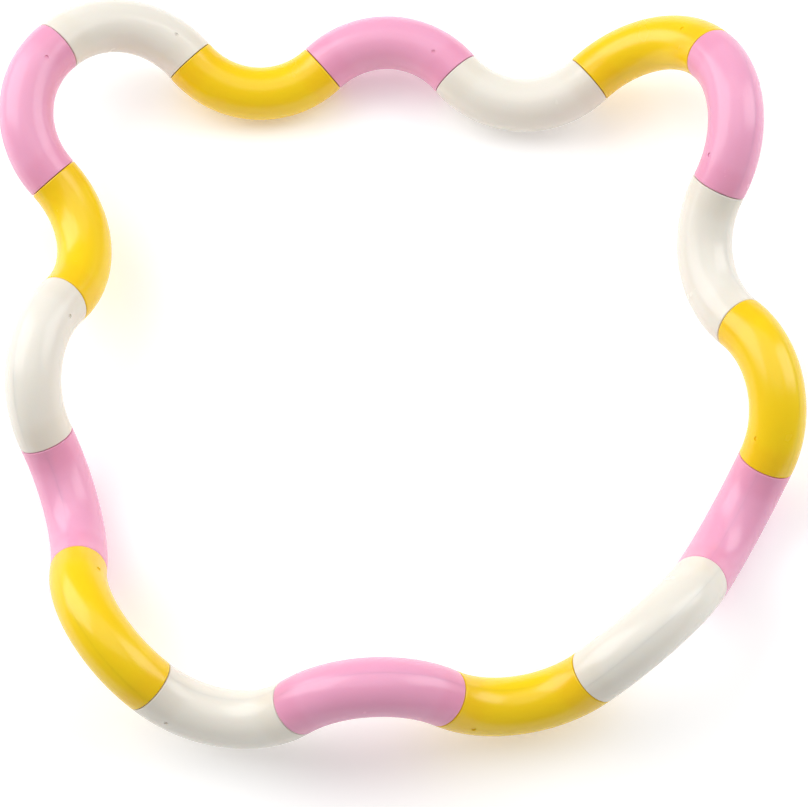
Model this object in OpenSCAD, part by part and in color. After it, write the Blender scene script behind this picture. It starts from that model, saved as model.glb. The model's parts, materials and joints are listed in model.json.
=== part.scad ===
// Twisting snake loop: eighteen quarter-circle tube bends, each able to spin on the next one
// Every bend is two half shells closed round a snap swivel pin

/* [Tube bends] */
// Outer diameter of the round tube
tube_diameter = 14; // [12:0.5:18]
// Radius of each bend, measured to the middle of the tube
bend_radius = 24.5; // [20:0.5:32]
// Thickness of the tube's moulded wall
tube_wall = 1.4; // [1.2:0.1:1.8]
// Straight length at each end, before the tube starts to bend
end_collar = 0.6; // [0.4:0.1:2]
// Rounding of the rim at each end of a bend
rim_round = 0.3; // [0.1:0.05:0.35]

/* [Swivel pin] */
// Diameter of the pin's neck, which the next bend spins on
neck_diameter = 5.6; // [4.5:0.1:6.2]
// Diameter of the flange that the two half shells close on
flange_diameter = 8.8; // [7.8:0.1:9.4]
// Thickness of that flange
flange_thickness = 1.4; // [1:0.1:2]
// Diameter of the short tail behind the flange
tail_diameter = 5; // [4:0.1:6]
// Length of that tail
tail_length = 1.2; // [0.8:0.1:2]
// Diameter of the snap nose over its barb
barb_diameter = 6.6; // [6.3:0.1:7.2]
// Length of the barb's straight band
barb_band = 0.6; // [0.4:0.1:1]
// Length of the cone that leads the nose in
nose_length = 2; // [1.5:0.1:3]
// Diameter of the nose at its tip
nose_tip = 4.4; // [3.6:0.1:5]
// Width of the two crossed slots that let the nose squeeze
slot_width = 0.9; // [0.6:0.1:1.2]

/* [Pin housing] */
// Wall between a bend's end face and the flange's groove
seat_wall = 2; // [1.5:0.1:2.5]
// Wall between a bend's end face and the room behind it, which the barb hooks on
lip_wall = 2; // [1.5:0.1:2.5]
// Wall between the pin's housing and the hollow of the tube
inner_wall = 1; // [0.8:0.1:2]

/* [Half shell bosses] */
// How many bosses join the two half shells along a bend
boss_count = 2; // [1:1:3]
// Diameter of a boss
boss_diameter = 3.8; // [3.4:0.1:5]
// Diameter of the locating pin on a boss
peg_diameter = 1.8; // [1.5:0.1:2]
// Length of the locating pin
peg_length = 1.8; // [1.2:0.1:2.5]

/* [Gate mark] */
// Where the mould's gate mark sits round the bend, in degrees from the socket end
gate_angle = 75; // [20:1:80]
// Diameter of the gate mark's dimple
gate_diameter = 1.1; // [0.8:0.1:1.5]
// Depth of the dimple
gate_depth = 0.25; // [0.1:0.05:0.5]

/* [Clearances] */
// Gap between the end faces of two bends
face_gap = 0.16; // [0.1:0.02:0.4]
// Radial clearance of the neck, the flange and the tail in their bores
running_fit = 0.06; // [0.03:0.01:0.1]
// End play of the flange and of the barb, each way
end_play = 0.1; // [0.05:0.01:0.2]
// Radial room round the barb once it has snapped in
barb_room = 0.3; // [0.2:0.05:0.5]
// Room past the tip and past the tail of a pin
tip_room = 0.3; // [0.2:0.05:0.6]
// Radial clearance of a locating pin in its hole
peg_fit = 0.05; // [0.03:0.01:0.1]

/* [Hidden] */
$fn = 96;
cream = [0.94, 0.92, 0.87];
yellow = [0.98, 0.83, 0.06];
pink = [0.94, 0.66, 0.80];
natural = [0.90, 0.90, 0.88];
shell_colors = [cream, yellow, pink];
tube_radius = tube_diameter / 2;
hollow_radius = tube_radius - tube_wall;
inset = end_collar + face_gap / 2;
leg = bend_radius + inset;
// Depths below a bend's end face, measured from the middle of the gap
face_depth = face_gap / 2;
seat_depth = face_depth + seat_wall;
groove_depth = seat_depth + flange_thickness + 2 * end_play;
tail_depth = seat_depth + end_play + flange_thickness + tail_length + tip_room;
lip_depth = face_depth + lip_wall;
nose_end = lip_depth + end_play + barb_band + nose_length;
room_depth = nose_end + tip_room;
housing_depth = max(tail_depth, room_depth) + inner_wall;
housing_radius = max(flange_diameter, barb_diameter + 2 * barb_room) / 2;
housing_angle = atan((housing_depth - inset) / (bend_radius - housing_radius));
boss_step = (90 - 2 * housing_angle) / (boss_count + 1);
// How far a cut runs past the face that it opens, and how far a locating pin is rooted in its boss
cut_past = 1;
peg_root = 0.5;
// Compass bearing and climb of the tube at the start of each bend, going clockwise round the loop
headings = [
    [55, -5], [-45, -15], [45, 15],
    [-55, -10], [40, 15], [-65, 30],
    [-120, -35], [-50, 30], [-125, -60],
    [-135, 60], [-155, -30], [160, 50],
    [-170, -40], [155, 30], [95, -35],
    [115, 35], [60, -30], [140, 25]
];
bend_count = len(headings);
settle_rounds = 500;
// The three bends that the loop lies on, counted from 0
resting_bends = [1, 8, 14];
level_rounds = 4;

function pointing(bearing, climb) =
    [cos(climb) * cos(bearing), cos(climb) * sin(bearing), sin(climb)];
function after(i) = (i + 1) % bend_count;
function before(i) = (i + bend_count - 1) % bend_count;
function total(v, n) = n < 0 ? [0, 0, 0] : v[n] + total(v, n - 1);
// Every bend turns the tube by a right angle, and the loop closes when the headings add up to nothing
function unit(v) = [for (a = v) a / norm(a)];
function balanced(v) = let (m = total(v, bend_count - 1) / bend_count) [for (a = v) a - m];
function squared(v) = [
    for (i = [0 : bend_count - 1])
        v[i] - ((v[i] * v[after(i)]) * v[after(i)] + (v[i] * v[before(i)]) * v[before(i)]) / 4
];
function settled(v, n) = n == 0 ? unit(v) : settled(squared(balanced(unit(v))), n - 1);

function joint_place(v, i) = i == 0 ? [0, 0, 0] : joint_place(v, i - 1) + leg * (v[i - 1] + v[i]);
function corner(v, i) = joint_place(v, i) + leg * v[after(i)];

// How far round its curve a bend reaches furthest along a direction, and that point of its middle line
function reach_angle(v, i, u) = max(0, min(90, atan2(v[i] * u, -v[after(i)] * u)));
function reach_point(v, i, u) =
    let (turn = reach_angle(v, i, u))
    corner(v, i) + inset * (v[i] - v[after(i)])
        + bend_radius * (sin(turn) * v[i] - cos(turn) * v[after(i)]);

// Turned until the undersides of the three bends that carry the loop are level
function turned(v, from, to) =
    let (k = cross(from, to))
    [for (a = v) (from * to) * a + cross(k, a) + (k * a) / (1 + from * to) * k];
function upright(n) = (n.z < 0 ? -n : n) / norm(n);
function under(v, k) = reach_point(v, resting_bends[k], [0, 0, -1]);
function level_normal(v) = upright(cross(under(v, 1) - under(v, 0), under(v, 2) - under(v, 0)));
function levelled(v, n) = n == 0 ? v : levelled(turned(v, level_normal(v), [0, 0, 1]), n - 1);

tangents = levelled(settled([for (h = headings) pointing(h[0], h[1])], settle_rounds), level_rounds);
corners = [for (i = [0 : bend_count - 1]) corner(tangents, i)];

// Furthest reach of the loop along a direction
function loop_reach(u) = max([for (i = [0 : bend_count - 1]) reach_point(tangents, i, u) * u]) + tube_radius;
shift_x = (loop_reach([-1, 0, 0]) - loop_reach([1, 0, 0])) / 2;
shift_y = (loop_reach([0, -1, 0]) - loop_reach([0, 1, 0])) / 2;
shift_z = loop_reach([0, 0, -1]);

// Puts a bend's own frame in place: its socket end is at [leg, 0, 0] and its pin end at [0, leg, 0]
module at_bend(i) {
    along = tangents[i];
    across = cross(along, tangents[after(i)]) / norm(cross(along, tangents[after(i)]));
    outward = cross(along, across);
    place = corners[i] + [shift_x, shift_y, shift_z];
    multmatrix([
        [outward.x, along.x, across.x, place.x],
        [outward.y, along.y, across.y, place.y],
        [outward.z, along.z, across.z, place.z],
        [0, 0, 0, 1]
    ])
        children();
}

// Both of these point their Z axis into the bend
module at_socket_end() {
    translate([leg, 0, 0])
        rotate([-90, 0, 0])
            children();
}

module at_pin_end() {
    translate([0, leg, 0])
        rotate([0, 90, 0])
            children();
}

module half_round(radius) {
    intersection() {
        circle(radius);
        translate([-radius, -radius])
            square([2 * radius, radius]);
    }
}

// Half of a swept round, on the underside of the bend's own frame
module half_sweep(radius, from, to) {
    translate([inset, inset, 0])
        rotate([0, 0, from])
            rotate_extrude(angle = to - from)
                translate([bend_radius, 0])
                    half_round(radius);
}

module collar_profile() {
    square([tube_radius - rim_round, end_collar]);
    translate([0, rim_round])
        square([tube_radius, end_collar - rim_round]);
    translate([tube_radius - rim_round, rim_round])
        circle(rim_round);
}

module half_collar() {
    translate([0, 0, face_depth])
        rotate_extrude(angle = 180)
            collar_profile();
}

// Room for the pin's neck, flange and tail, which the two half shells close on
module seat_room() {
    rotate_extrude()
        polygon([
            [0, face_depth - cut_past],
            [neck_diameter / 2 + running_fit, face_depth - cut_past],
            [neck_diameter / 2 + running_fit, seat_depth],
            [flange_diameter / 2 + running_fit, seat_depth],
            [flange_diameter / 2 + running_fit, groove_depth],
            [tail_diameter / 2 + running_fit, groove_depth],
            [tail_diameter / 2 + running_fit, tail_depth],
            [0, tail_depth]
        ]);
}

// Bore that spins on the next pin's neck, and the room its barb opens in
module socket_room() {
    rotate_extrude()
        polygon([
            [0, face_depth - cut_past],
            [neck_diameter / 2 + running_fit, face_depth - cut_past],
            [neck_diameter / 2 + running_fit, lip_depth],
            [barb_diameter / 2 + barb_room, lip_depth],
            [barb_diameter / 2 + barb_room, room_depth],
            [0, room_depth]
        ]);
}

module at_bosses() {
    for (k = [1 : boss_count])
        translate([inset, inset, 0])
            rotate([0, 0, housing_angle + k * boss_step])
                translate([bend_radius, 0, 0])
                    children();
}

// Half of a bend, with its housings and its bosses, below the plane that the halves meet on
module half_body() {
    difference() {
        union() {
            half_sweep(tube_radius, 0, 90);
            at_socket_end()
                half_collar();
            at_pin_end()
                rotate([0, 0, -90])
                    half_collar();
        }
        half_sweep(hollow_radius, housing_angle, 90 - housing_angle);
        at_socket_end()
            socket_room();
        at_pin_end()
            seat_room();
    }
    at_bosses()
        translate([0, 0, -hollow_radius - tube_wall / 2])
            cylinder(d = boss_diameter, h = hollow_radius + tube_wall / 2);
}

module gate_mark() {
    translate([inset, inset, 0])
        rotate([0, 0, gate_angle])
            translate([bend_radius, 0, -tube_radius - cut_past])
                cylinder(d = gate_diameter, h = cut_past + gate_depth);
}

// The half with the gate mark and the locating pins
module marked_half(i) {
    color(shell_colors[i % 3])
        at_bend(i) {
            difference() {
                half_body();
                gate_mark();
            }
            at_bosses()
                translate([0, 0, -peg_root])
                    cylinder(d = peg_diameter, h = peg_root + peg_length);
        }
}

// The other half, with the holes for those pins
module plain_half(i) {
    color(shell_colors[i % 3])
        at_bend(i)
            difference() {
                mirror([0, 0, 1])
                    half_body();
                at_bosses()
                    translate([0, 0, -cut_past])
                        cylinder(d = peg_diameter + 2 * peg_fit, h = cut_past + peg_length + tip_room);
            }
}

module pin_profile() {
    flange_front = -seat_depth - end_play;
    barb_back = lip_depth + end_play;
    polygon([
        [0, flange_front - flange_thickness - tail_length],
        [tail_diameter / 2, flange_front - flange_thickness - tail_length],
        [tail_diameter / 2, flange_front - flange_thickness],
        [flange_diameter / 2, flange_front - flange_thickness],
        [flange_diameter / 2, flange_front],
        [neck_diameter / 2, flange_front],
        [neck_diameter / 2, barb_back],
        [barb_diameter / 2, barb_back],
        [barb_diameter / 2, barb_back + barb_band],
        [nose_tip / 2, nose_end],
        [0, nose_end]
    ]);
}

// The pin at the end of a bend, with its nose in the socket of the next bend
module swivel_pin(i) {
    color(natural)
        at_bend(i)
            at_pin_end()
                mirror([0, 0, 1])
                    difference() {
                        rotate_extrude()
                            pin_profile();
                        for (turn = [0, 90])
                            rotate([0, 0, turn])
                                translate([-barb_diameter, -slot_width / 2, face_depth])
                                    cube([2 * barb_diameter, slot_width, nose_end]);
                    }
}

marked_half(0);  // marked_half_01
plain_half(0);  // plain_half_01
swivel_pin(0);  // swivel_pin_01
marked_half(1);  // marked_half_02
plain_half(1);  // plain_half_02
swivel_pin(1);  // swivel_pin_02
marked_half(2);  // marked_half_03
plain_half(2);  // plain_half_03
swivel_pin(2);  // swivel_pin_03
marked_half(3);  // marked_half_04
plain_half(3);  // plain_half_04
swivel_pin(3);  // swivel_pin_04
marked_half(4);  // marked_half_05
plain_half(4);  // plain_half_05
swivel_pin(4);  // swivel_pin_05
marked_half(5);  // marked_half_06
plain_half(5);  // plain_half_06
swivel_pin(5);  // swivel_pin_06
marked_half(6);  // marked_half_07
plain_half(6);  // plain_half_07
swivel_pin(6);  // swivel_pin_07
marked_half(7);  // marked_half_08
plain_half(7);  // plain_half_08
swivel_pin(7);  // swivel_pin_08
marked_half(8);  // marked_half_09
plain_half(8);  // plain_half_09
swivel_pin(8);  // swivel_pin_09
marked_half(9);  // marked_half_10
plain_half(9);  // plain_half_10
swivel_pin(9);  // swivel_pin_10
marked_half(10);  // marked_half_11
plain_half(10);  // plain_half_11
swivel_pin(10);  // swivel_pin_11
marked_half(11);  // marked_half_12
plain_half(11);  // plain_half_12
swivel_pin(11);  // swivel_pin_12
marked_half(12);  // marked_half_13
plain_half(12);  // plain_half_13
swivel_pin(12);  // swivel_pin_13
marked_half(13);  // marked_half_14
plain_half(13);  // plain_half_14
swivel_pin(13);  // swivel_pin_14
marked_half(14);  // marked_half_15
plain_half(14);  // plain_half_15
swivel_pin(14);  // swivel_pin_15
marked_half(15);  // marked_half_16
plain_half(15);  // plain_half_16
swivel_pin(15);  // swivel_pin_16
marked_half(16);  // marked_half_17
plain_half(16);  // plain_half_17
swivel_pin(16);  // swivel_pin_17
marked_half(17);  // marked_half_18
plain_half(17);  // plain_half_18
swivel_pin(17);  // swivel_pin_18
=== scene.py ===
import json
import math
import bpy
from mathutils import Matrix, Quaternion, Vector


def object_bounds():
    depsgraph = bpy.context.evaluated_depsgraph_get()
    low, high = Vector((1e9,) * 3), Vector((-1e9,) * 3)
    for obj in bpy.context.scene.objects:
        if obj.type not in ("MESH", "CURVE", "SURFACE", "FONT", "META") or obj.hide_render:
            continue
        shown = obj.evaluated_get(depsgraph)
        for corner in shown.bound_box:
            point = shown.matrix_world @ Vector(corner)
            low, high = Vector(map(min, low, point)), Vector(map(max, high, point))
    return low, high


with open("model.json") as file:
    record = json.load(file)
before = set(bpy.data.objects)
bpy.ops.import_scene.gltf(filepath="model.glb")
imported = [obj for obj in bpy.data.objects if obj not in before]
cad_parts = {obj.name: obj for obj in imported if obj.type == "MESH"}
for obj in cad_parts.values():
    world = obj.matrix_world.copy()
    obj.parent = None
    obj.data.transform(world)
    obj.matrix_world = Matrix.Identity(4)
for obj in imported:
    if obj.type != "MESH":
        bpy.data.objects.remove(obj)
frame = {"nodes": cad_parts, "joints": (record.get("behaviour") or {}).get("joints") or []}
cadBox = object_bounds()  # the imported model's own box, before anything is added

millimetre = 0.001


# Shader sums
class Wire:  # one socket, so that shader sums read as plain sums
    def __init__(self, graph, socket):
        self.graph = graph
        self.socket = socket

    def sum(self, operation, first, second):
        return self.graph.node("ShaderNodeMath", {"operation": operation}, {0: first, 1: second})

    def __add__(self, other):
        return self.sum("ADD", self, other)

    def __radd__(self, other):
        return self.sum("ADD", other, self)

    def __sub__(self, other):
        return self.sum("SUBTRACT", self, other)

    def __rsub__(self, other):
        return self.sum("SUBTRACT", other, self)

    def __mul__(self, other):
        return self.sum("MULTIPLY", self, other)

    def __rmul__(self, other):
        return self.sum("MULTIPLY", other, self)

    def __abs__(self):
        return self.sum("ABSOLUTE", self, 0.0)

    def least(self, other):
        return self.sum("MINIMUM", self, other)

    def most(self, other):
        return self.sum("MAXIMUM", self, other)


class Graph:  # a new material and its node tree
    def __init__(self, name):
        self.material = bpy.data.materials.new(name)
        self.material.use_nodes = True
        self.tree = self.material.node_tree
        self.tree.nodes.clear()

    def node(self, kind, settings=None, inputs=None, output=0):
        made = self.tree.nodes.new(kind)
        for name, value in (settings or {}).items():
            setattr(made, name, value)
        for name, value in (inputs or {}).items():
            if isinstance(value, Wire):
                self.tree.links.new(value.socket, made.inputs[name])
            else:
                made.inputs[name].default_value = value
        return Wire(self, made.outputs[output]) if made.outputs else None

    def place(self):  # where a point of the object is, in metres
        return self.node("ShaderNodeTexCoord", output="Object")

    def ramp(self, value, low, high, start=0.0, end=1.0):  # smooth step from low to high
        return self.node(
            "ShaderNodeMapRange",
            {"interpolation_type": "SMOOTHSTEP"},
            {"Value": value, "From Min": low, "From Max": high, "To Min": start, "To Max": end},
        )

    def mix(self, factor, first, second):  # blend of two colours
        return self.node("ShaderNodeMix", {"data_type": "RGBA"}, {0: factor, 6: first, 7: second}, output=2)

    def noise(self, place, size, detail=2.0, roughness=0.5):  # size is a blotch's width in metres
        return self.node(
            "ShaderNodeTexNoise",
            None,
            {"Vector": place, "Scale": 1.0 / size, "Detail": detail, "Roughness": roughness},
        )

    def vectorSum(self, operation, first, second):  # one number from two vectors
        settings = {"operation": operation}
        return self.node("ShaderNodeVectorMath", settings, {0: first, 1: second}, output="Value")

    def along(self, place, point, direction):  # signed distance from point, measured along direction
        return self.vectorSum("DOT_PRODUCT", place, direction) - point.dot(direction)

    def away(self, place, point):  # distance from point
        return self.vectorSum("DISTANCE", place, point)

    def scratches(self, place, lines):  # sparse straight hairlines, 1 inside a line
        thinning = lines["length"] / lines["width"]
        turned = self.node(
            "ShaderNodeMapping",
            None,
            {"Vector": place, "Rotation": lines["turn"], "Scale": (1.0, thinning, thinning)},
        )
        streaks = self.noise(turned, lines["length"], 1.0)
        edge = 1.0 - lines["share"]
        return self.ramp(streaks, edge, edge + lines["fade"])

    def bump(self, height, depth):
        return self.node("ShaderNodeBump", None, {"Strength": 1.0, "Distance": depth, "Height": height})

    def finish(self, shader):
        self.node("ShaderNodeOutputMaterial", None, {"Surface": shader})
        return self.material


# Glossy bends
bend = {
    "count": 18,
    "finishes": ("cream", "yellow", "pink"),  # in turn round the loop
    "tubeRadius": 7.0 * millimetre,
    "collar": 0.68 * millimetre,  # straight length from the middle of a joint to the start of the curve
    "gateAngle": math.radians(75),  # where the gate mark sits, from the start of the curve
    "gateRadius": 0.32 * millimetre,  # the discoloured middle of the gate mark
    "housing": (4.5 * millimetre, 8.0 * millimetre),  # the wall thins out between these depths
    "creviceGrimeShade": (0.06 * millimetre, 0.30 * millimetre),  # handling grime and painted shade in the joint gap die out between these depths
    # painted shade: how far the joint gap is darkened, together with its grime
    "creviceGrimeShadeTint": 0.10,
    "rim": 0.9 * millimetre,  # handling polishes the edge up to this depth
    "seam": (0.02 * millimetre, 0.06 * millimetre),  # the parting line dies out between these
    "seamTint": 0.08,
    "gateEdge": (0.80, 1.15),  # the mark fades out between these shares of its radius
    "peel": 3.2 * millimetre,  # width of the moulded skin's gentle waves
    "blotch": 15.0 * millimetre,
    "smudge": 7.0 * millimetre,
    "smudgeEdge": (0.50, 0.68),  # noise levels between which a smudge comes in
    "grain": 0.5 * millimetre,
    "grainTint": 0.04,
    "thinMix": (0.55, 0.45),  # how far the wall and the blotches lighten the colour
    "creviceGrimeShadeMix": (0.45, 0.9),  # even grime and painted shade, and grime and painted shade that follow the blotches
    "roughness": 0.22,
    "rougher": {
        "blotches": 0.04,
        "smudges": 0.03,
        "rim": 0.04,  # taken away
        "scratches": 0.06,
        "creviceGrimeShade": 0.20,
        "speck": 0.20,
    },
    "relief": {"peel": 0.9, "grain": 0.05, "scratches": 0.12, "seam": 0.4},  # the last two are cut in
    "bumpDepth": 0.012 * millimetre,
    "refraction": 1.53,
    "glowThrough": 0.25,  # share of light that scatters inside the plastic
    "scatterColours": (1.0, 0.7, 0.5),
    "scatterDepth": 1.5 * millimetre,
}

hairlines = {
    "long": {
        "turn": (0.4, 0.9, 0.3),
        "length": 9.0 * millimetre,
        "width": 0.10 * millimetre,
        "share": 0.24,  # more of the surface is scratched as this grows
        "fade": 0.03,
    },
    "short": {
        "turn": (1.1, 0.2, 2.0),
        "length": 5.0 * millimetre,
        "width": 0.07 * millimetre,
        "share": 0.26,
        "fade": 0.03,
    },
}

plasticColours = {  # where the wall is thin, where it is thick, its grime and painted joint shade, and how dark its gate mark is
    "cream": {
        "thin": (0.87, 0.83, 0.75, 1),
        "thick": (0.83, 0.78, 0.68, 1),
        "grimeAndShade": (0.52, 0.42, 0.32, 1),
        "gateTint": 0.80,
    },
    "yellow": {
        "thin": (0.99, 0.67, 0.001, 1),
        "thick": (0.96, 0.60, 0.001, 1),
        "grimeAndShade": (0.66, 0.34, 0.001, 1),
        "gateTint": 0.15,
    },
    "pink": {
        "thin": (0.90, 0.41, 0.60, 1),
        "thick": (0.86, 0.35, 0.53, 1),
        "grimeAndShade": (0.62, 0.20, 0.34, 1),
        "gateTint": 0.15,
    },
}

pivots = {j["name"]: (Vector(j["pos_m"]), Vector(j["axis"])) for j in frame["joints"]}


def bendEnds(number):  # the pivot that a bend starts from and the one that it carries at its end
    earlier = number - 1 or bend["count"]
    return pivots[f"seat_spin_{earlier:02d}"], pivots[f"seat_spin_{number:02d}"]


def gatePlace(start, startAxis, middle, endAxis):
    leg = (middle - start).length
    curve = leg - bend["collar"]
    centre = middle + bend["collar"] * (startAxis - endAxis)
    outward = math.sin(bend["gateAngle"]) * startAxis - math.cos(bend["gateAngle"]) * endAxis
    return centre + curve * outward - bend["tubeRadius"] * startAxis.cross(endAxis)


def makeBendPlastic(number):
    finish = bend["finishes"][(number - 1) % len(bend["finishes"])]
    colours = plasticColours[finish]
    (start, startAxis), (end, endAxis) = bendEnds(number)
    leg = (end - start).length / math.sqrt(2)
    middle = start + leg * endAxis  # the corner that the bend turns about
    gate = gatePlace(start, startAxis, middle, endAxis)

    graph = Graph(f"{finish}Plastic{number:02d}")
    place = graph.place()
    fromJoint = abs(graph.along(place, start, startAxis)).least(abs(graph.along(place, end, endAxis)))
    fromSeam = abs(graph.along(place, middle, startAxis.cross(endAxis)))

    blotches = graph.noise(place, bend["blotch"])
    grain = graph.noise(place, bend["grain"], 1.0)
    smudges = graph.ramp(graph.noise(place, bend["smudge"], 3.0, 0.6), *bend["smudgeEdge"])
    thin = graph.ramp(fromJoint, *bend["housing"])
    evenGrimeShade, blotchyGrimeShade = bend["creviceGrimeShadeMix"]
    # painted shade in the joint gap, mixed with handling grime
    creviceGrimeShade = graph.ramp(fromJoint, *bend["creviceGrimeShade"], 1.0, 0.0) * (evenGrimeShade + blotchyGrimeShade * blotches)
    rim = graph.ramp(fromJoint, bend["creviceGrimeShade"][1], bend["rim"], 1.0, 0.0)
    seam = graph.ramp(fromSeam, *bend["seam"], 1.0, 0.0)
    full, gone = (share * bend["gateRadius"] for share in bend["gateEdge"])
    speck = graph.ramp(graph.away(place, gate), full, gone, 1.0, 0.0)
    long = graph.scratches(place, hairlines["long"])
    short = graph.scratches(place, hairlines["short"])
    scratched = long.most(short) * smudges

    byWall, byBlotch = bend["thinMix"]
    colour = graph.mix(byWall * thin + byBlotch * blotches, colours["thick"], colours["thin"])
    colour = graph.mix(bend["grainTint"] * grain, colour, colours["grimeAndShade"])
    # darkens the joint gap with painted shade and grime
    colour = graph.mix(bend["creviceGrimeShadeTint"] * creviceGrimeShade, colour, colours["grimeAndShade"])
    colour = graph.mix(bend["seamTint"] * seam, colour, colours["grimeAndShade"])
    colour = graph.mix(colours["gateTint"] * speck, colour, colours["grimeAndShade"])
    more = bend["rougher"]
    roughness = bend["roughness"] + more["blotches"] * blotches + more["smudges"] * smudges
    roughness = roughness - more["rim"] * rim + more["scratches"] * scratched
    roughness = roughness + more["creviceGrimeShade"] * creviceGrimeShade + more["speck"] * speck
    relief = bend["relief"]
    height = relief["peel"] * graph.noise(place, bend["peel"], 1.0) + relief["grain"] * grain
    height = height - relief["scratches"] * scratched - relief["seam"] * seam

    normal = graph.bump(height, bend["bumpDepth"])
    shader = graph.node(
        "ShaderNodeBsdfPrincipled",
        None,
        {
            "Base Color": colour,
            "Roughness": roughness,
            "Normal": normal,
            "IOR": bend["refraction"],
            "Subsurface Weight": bend["glowThrough"],
            "Subsurface Radius": bend["scatterColours"],
            "Subsurface Scale": bend["scatterDepth"],
        },
    )
    return graph.finish(shader)


def coat(node, material):
    for slot in frame["nodes"][node].material_slots:
        slot.material = material


for number in range(1, bend["count"] + 1):
    plastic = makeBendPlastic(number)
    coat(f"marked_half_{number:02d}", plastic)
    coat(f"plain_half_{number:02d}", plastic)
print("bend plastics:", bend["count"])

# Swivel pins
pin = {
    "pale": (0.82, 0.80, 0.74, 1),
    "warm": (0.74, 0.70, 0.61, 1),
    "worn": (0.45, 0.43, 0.40, 1),
    "flow": 4.0 * millimetre,
    "grain": 0.25 * millimetre,
    "neck": (1.9 * millimetre, 2.3 * millimetre),  # rubbed where it turns, up to between these
    "rubbedTint": 0.22,
    "ringPitch": 0.35 * millimetre,  # fine wear rings round the neck
    "ringRelief": 0.25,
    "roughness": 0.38,
    "roughnessSpread": 0.12,
    "bumpDepth": 0.006 * millimetre,
    "refraction": 1.48,
    "glowThrough": 0.15,
    "scatterColours": (1.0, 0.9, 0.7),
    "scatterDepth": 1.0 * millimetre,
}


def makePinPlastic(number):
    point, axis = pivots[f"seat_spin_{number:02d}"]
    graph = Graph(f"pinPlastic{number:02d}")
    place = graph.place()
    flow = graph.noise(place, pin["flow"], 3.0)
    grain = graph.noise(place, pin["grain"], 2.0)
    alongPin = abs(graph.along(place, point, axis))
    rubbed = graph.ramp(alongPin, *pin["neck"], 1.0, 0.0)
    rings = graph.node(
        "ShaderNodeMath",
        {"operation": "SINE"},
        {0: alongPin * (2 * math.pi / pin["ringPitch"])},
    )
    colour = graph.mix(flow, pin["warm"], pin["pale"])
    colour = graph.mix(pin["rubbedTint"] * rubbed * grain, colour, pin["worn"])
    roughness = pin["roughness"] + pin["roughnessSpread"] * flow - pin["roughnessSpread"] * rubbed
    height = grain + pin["ringRelief"] * rubbed * rings
    normal = graph.bump(height, pin["bumpDepth"])
    shader = graph.node(
        "ShaderNodeBsdfPrincipled",
        None,
        {
            "Base Color": colour,
            "Roughness": roughness,
            "Normal": normal,
            "IOR": pin["refraction"],
            "Subsurface Weight": pin["glowThrough"],
            "Subsurface Radius": pin["scatterColours"],
            "Subsurface Scale": pin["scatterDepth"],
        },
    )
    return graph.finish(shader)


for number in range(1, bend["count"] + 1):
    coat(f"swivel_pin_{number:02d}", makePinPlastic(number))
print("pin plastics:", bend["count"])

# Studio
studio = {
    "floorSize": 6.0,
    "floorColour": (0.96, 0.96, 0.96, 1),
    "floorCloud": (0.92, 0.92, 0.92, 1),
    "floorGlow": 0.20,
    "glowColour": (1, 1, 1, 1),
    "fibre": 2.0 * millimetre,
    "cloud": 250.0 * millimetre,
    "paperMix": (0.3, 0.4),  # how far the fibres and the clouds shade the paper
    "paperRoughness": 0.6,
    "fibreRoughness": 0.1,
    "paperShine": 0.15,
    "skyColour": (1.0, 1.0, 1.0, 1),
    "skyStrength": 0.30,
}

# bearing clockwise from +Y and height above the floor are in degrees, distance and sides in metres
softboxes = {
    "leftSoftbox": {"bearing": -66, "height": 36, "distance": 1.00, "sides": (0.75, 1.00), "watts": 7.4},
    "rightSoftbox": {"bearing": 70, "height": 36, "distance": 1.00, "sides": (0.55, 0.80), "watts": 4.1},
    "topSoftbox": {"bearing": 0, "height": 76, "distance": 1.20, "sides": (1.10, 1.10), "watts": 3.8},
}


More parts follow.
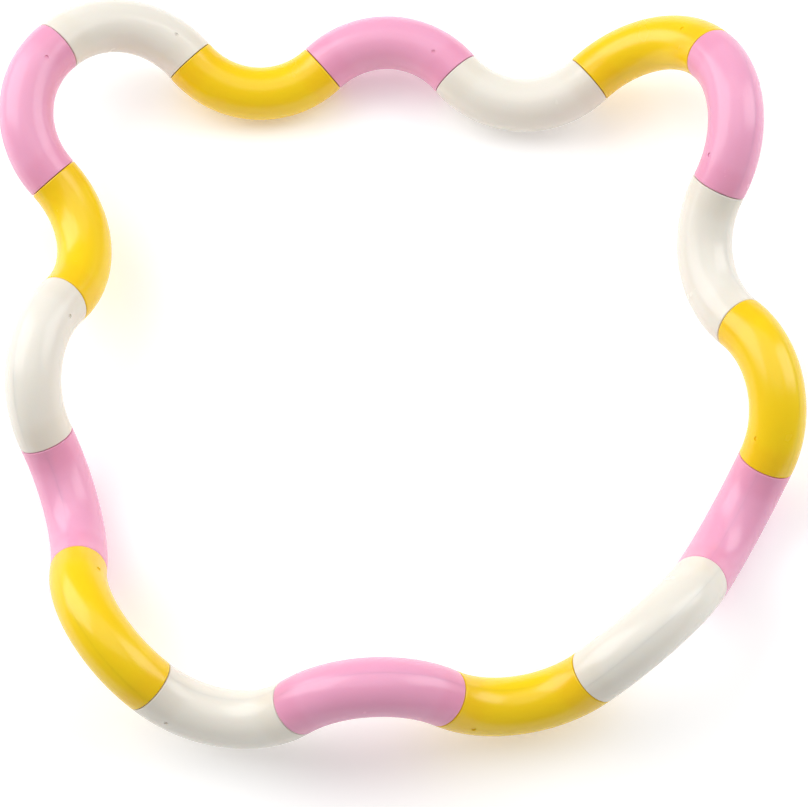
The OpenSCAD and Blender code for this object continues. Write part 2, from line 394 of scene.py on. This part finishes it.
def makeFloor():
    bpy.ops.object.select_all(action="DESELECT")
    bpy.ops.mesh.primitive_plane_add(size=studio["floorSize"], location=(0, 0, cadBox[0].z))
    floor = bpy.context.active_object
    floor.name = "studioFloor"
    bpy.ops.object.transform_apply(location=True, rotation=True, scale=True)
    graph = Graph("studioPaper")
    place = graph.place()
    fibres = graph.noise(place, studio["fibre"], 3.0)
    clouds = graph.noise(place, studio["cloud"], 2.0)
    byFibre, byCloud = studio["paperMix"]
    colour = graph.mix(byFibre * fibres + byCloud * clouds, studio["floorColour"], studio["floorCloud"])
    shader = graph.node(
        "ShaderNodeBsdfPrincipled",
        None,
        {
            "Base Color": colour,
            "Roughness": studio["paperRoughness"] + studio["fibreRoughness"] * fibres,
            "Specular IOR Level": studio["paperShine"],
            "Emission Color": studio["glowColour"],
            "Emission Strength": studio["floorGlow"],
        },
    )
    floor.data.materials.append(graph.finish(shader))


def makeSoftbox(name, box, aim):  # faces the aim
    bearing, height = math.radians(box["bearing"]), math.radians(box["height"])
    level = math.cos(height)
    away = Vector((math.sin(bearing) * level, math.cos(bearing) * level, math.sin(height)))
    bpy.ops.object.light_add(type="AREA", location=aim + box["distance"] * away)
    lamp = bpy.context.active_object
    lamp.name = name
    lamp.rotation_euler = away.to_track_quat("Z", "Y").to_euler()
    lamp.data.shape = "RECTANGLE"
    lamp.data.size, lamp.data.size_y = box["sides"]
    lamp.data.energy = box["watts"]
    lamp.visible_camera = False


def makeSky():
    sky = bpy.data.worlds.new("paleStudio")
    sky.use_nodes = True
    background = sky.node_tree.nodes["Background"]
    background.inputs["Color"].default_value = studio["skyColour"]
    background.inputs["Strength"].default_value = studio["skyStrength"]
    bpy.context.scene.world = sky


makeFloor()
makeSky()
for name, box in softboxes.items():
    makeSoftbox(name, box, Vector((0, 0, 0)))
bpy.context.scene.view_settings.view_transform = "Standard"
print("studio ready")

# Camera
view = {
    "aim": (0.0027, -0.0121, 0.0120),  # the point near the loop's middle that it looks at
    "azimuth": 4.48,  # degrees, 0 looks along +Y
    "elevation": 70.16,  # degrees above the floor
    "roll": -4.93,  # degrees
    "distance": 0.5634,  # metres from the aim
    "lens": 99.6,
    "sensor": 36,
}


def makeCamera():
    turn, climb = math.radians(view["azimuth"]), math.radians(view["elevation"])
    back = Vector((math.sin(turn) * math.cos(climb), -math.cos(turn) * math.cos(climb), math.sin(climb)))
    bpy.ops.object.camera_add(location=Vector(view["aim"]) + view["distance"] * back)
    camera = bpy.context.active_object
    camera.name = "studioCamera"
    camera.rotation_mode = "QUATERNION"
    roll = Quaternion((0, 0, 1), math.radians(view["roll"]))
    camera.rotation_quaternion = back.to_track_quat("Z", "Y") @ roll
    camera.data.lens = view["lens"]
    camera.data.sensor_width = view["sensor"]
    bpy.context.scene.camera = camera


makeCamera()

print("camera ready")
